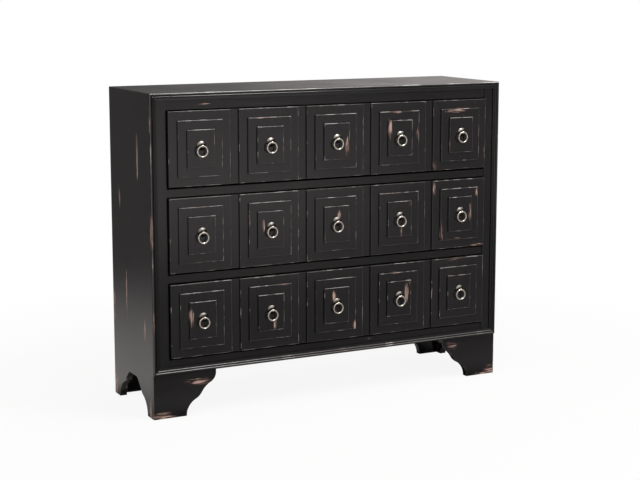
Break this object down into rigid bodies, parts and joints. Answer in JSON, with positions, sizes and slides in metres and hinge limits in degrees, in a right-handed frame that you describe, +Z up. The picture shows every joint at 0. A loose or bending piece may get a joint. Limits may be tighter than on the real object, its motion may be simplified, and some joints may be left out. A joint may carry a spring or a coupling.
{
  "type": "chest of drawers",
  "caption": "Floor-standing chest with wide sliding drawers, stepped square panels, swinging ring pulls, a beaded frame moulding and scrolled bracket feet in rubbed black paint.",
  "frame": {"origin": "on the floor, under the middle of the whole chest with its pulls", "axes": "+X along the front to the right as one faces it, +Y from front to back, +Z up"},
  "size_m": [1.07, 0.3415, 0.864],
  "materials": {
    "black_paint": "rubbed satin black paint",
    "drawer_wood": "bare sanded wood",
    "thin_board": "bare thin board",
    "antique_pewter": "antique pewter plating",
    "screw_steel": "zinc plated"
  },
  "bodies": {
    "case": {"top_panel": "black_paint", "left_side_panel": "black_paint", "right_side_panel": "black_paint", "back_panel": "thin_board", "bottom_panel": "black_paint", "left_stile": "black_paint", "right_stile": "black_paint", "bottom_rail": "black_paint", "lower_middle_rail": "black_paint", "upper_middle_rail": "black_paint", "top_rail": "black_paint", "front_left_foot": "black_paint", "front_right_foot": "black_paint", "back_left_foot": "black_paint", "back_right_foot": "black_paint", "drawer_runners": "drawer_wood", "corner_blocks": "drawer_wood", "top_moulding": "black_paint", "left_moulding": "black_paint", "right_moulding": "black_paint", "base_moulding": "black_paint"},
    "upper_drawer": {"upper_drawer_front_board": "black_paint", "upper_drawer_stepped_panels": "black_paint", "upper_drawer_left_side": "drawer_wood", "upper_drawer_right_side": "drawer_wood", "upper_drawer_back": "drawer_wood", "upper_drawer_floor": "thin_board", "upper_drawer_pull_mounts": "antique_pewter", "upper_drawer_pull_screws": "screw_steel"},
    "upper_ring_1": {"upper_drawer_ring_1": "antique_pewter"},
    "upper_ring_2": {"upper_drawer_ring_2": "antique_pewter"},
    "upper_ring_3": {"upper_drawer_ring_3": "antique_pewter"},
    "upper_ring_4": {"upper_drawer_ring_4": "antique_pewter"},
    "upper_ring_5": {"upper_drawer_ring_5": "antique_pewter"},
    "middle_drawer": {"middle_drawer_front_board": "black_paint", "middle_drawer_stepped_panels": "black_paint", "middle_drawer_left_side": "drawer_wood", "middle_drawer_right_side": "drawer_wood", "middle_drawer_back": "drawer_wood", "middle_drawer_floor": "thin_board", "middle_drawer_pull_mounts": "antique_pewter", "middle_drawer_pull_screws": "screw_steel"},
    "middle_ring_1": {"middle_drawer_ring_1": "antique_pewter"},
    "middle_ring_2": {"middle_drawer_ring_2": "antique_pewter"},
    "middle_ring_3": {"middle_drawer_ring_3": "antique_pewter"},
    "middle_ring_4": {"middle_drawer_ring_4": "antique_pewter"},
    "middle_ring_5": {"middle_drawer_ring_5": "antique_pewter"},
    "lower_drawer": {"lower_drawer_front_board": "black_paint", "lower_drawer_stepped_panels": "black_paint", "lower_drawer_left_side": "drawer_wood", "lower_drawer_right_side": "drawer_wood", "lower_drawer_back": "drawer_wood", "lower_drawer_floor": "thin_board", "lower_drawer_pull_mounts": "antique_pewter", "lower_drawer_pull_screws": "screw_steel"},
    "lower_ring_1": {"lower_drawer_ring_1": "antique_pewter"},
    "lower_ring_2": {"lower_drawer_ring_2": "antique_pewter"},
    "lower_ring_3": {"lower_drawer_ring_3": "antique_pewter"},
    "lower_ring_4": {"lower_drawer_ring_4": "antique_pewter"},
    "lower_ring_5": {"lower_drawer_ring_5": "antique_pewter"}
  },
  "joints": [
    {"name": "upper_drawer_slide", "type": "slide", "parent": "case", "child": "upper_drawer", "axis": [0, -1, 0], "range_m": [0, 0.2]},
    {"name": "upper_ring_1_swing", "type": "hinge", "parent": "upper_drawer", "child": "upper_ring_1", "pos_m": [-0.3992, -0.16685, 0.72508], "axis": [-1, 0, 0], "range_deg": [0, 170]},
    {"name": "upper_ring_2_swing", "type": "hinge", "parent": "upper_drawer", "child": "upper_ring_2", "pos_m": [-0.1996, -0.16685, 0.72508], "axis": [-1, 0, 0], "range_deg": [0, 170]},
    {"name": "upper_ring_3_swing", "type": "hinge", "parent": "upper_drawer", "child": "upper_ring_3", "pos_m": [0, -0.16685, 0.72508], "axis": [-1, 0, 0], "range_deg": [0, 170]},
    {"name": "upper_ring_4_swing", "type": "hinge", "parent": "upper_drawer", "child": "upper_ring_4", "pos_m": [0.1996, -0.16685, 0.72508], "axis": [-1, 0, 0], "range_deg": [0, 170]},
    {"name": "upper_ring_5_swing", "type": "hinge", "parent": "upper_drawer", "child": "upper_ring_5", "pos_m": [0.3992, -0.16685, 0.72508], "axis": [-1, 0, 0], "range_deg": [0, 170]},
    {"name": "middle_drawer_slide", "type": "slide", "parent": "case", "child": "middle_drawer", "axis": [0, -1, 0], "range_m": [0, 0.2]},
    {"name": "middle_ring_1_swing", "type": "hinge", "parent": "middle_drawer", "child": "middle_ring_1", "pos_m": [-0.3992, -0.16685, 0.49725], "axis": [-1, 0, 0], "range_deg": [0, 170]},
    {"name": "middle_ring_2_swing", "type": "hinge", "parent": "middle_drawer", "child": "middle_ring_2", "pos_m": [-0.1996, -0.16685, 0.49725], "axis": [-1, 0, 0], "range_deg": [0, 170]},
    {"name": "middle_ring_3_swing", "type": "hinge", "parent": "middle_drawer", "child": "middle_ring_3", "pos_m": [0, -0.16685, 0.49725], "axis": [-1, 0, 0], "range_deg": [0, 170]},
    {"name": "middle_ring_4_swing", "type": "hinge", "parent": "middle_drawer", "child": "middle_ring_4", "pos_m": [0.1996, -0.16685, 0.49725], "axis": [-1, 0, 0], "range_deg": [0, 170]},
    {"name": "middle_ring_5_swing", "type": "hinge", "parent": "middle_drawer", "child": "middle_ring_5", "pos_m": [0.3992, -0.16685, 0.49725], "axis": [-1, 0, 0], "range_deg": [0, 170]},
    {"name": "lower_drawer_slide", "type": "slide", "parent": "case", "child": "lower_drawer", "axis": [0, -1, 0], "range_m": [0, 0.2]},
    {"name": "lower_ring_1_swing", "type": "hinge", "parent": "lower_drawer", "child": "lower_ring_1", "pos_m": [-0.3992, -0.16685, 0.26942], "axis": [-1, 0, 0], "range_deg": [0, 170]},
    {"name": "lower_ring_2_swing", "type": "hinge", "parent": "lower_drawer", "child": "lower_ring_2", "pos_m": [-0.1996, -0.16685, 0.26942], "axis": [-1, 0, 0], "range_deg": [0, 170]},
    {"name": "lower_ring_3_swing", "type": "hinge", "parent": "lower_drawer", "child": "lower_ring_3", "pos_m": [0, -0.16685, 0.26942], "axis": [-1, 0, 0], "range_deg": [0, 170]},
    {"name": "lower_ring_4_swing", "type": "hinge", "parent": "lower_drawer", "child": "lower_ring_4", "pos_m": [0.1996, -0.16685, 0.26942], "axis": [-1, 0, 0], "range_deg": [0, 170]},
    {"name": "lower_ring_5_swing", "type": "hinge", "parent": "lower_drawer", "child": "lower_ring_5", "pos_m": [0.3992, -0.16685, 0.26942], "axis": [-1, 0, 0], "range_deg": [0, 170]}
  ]
}
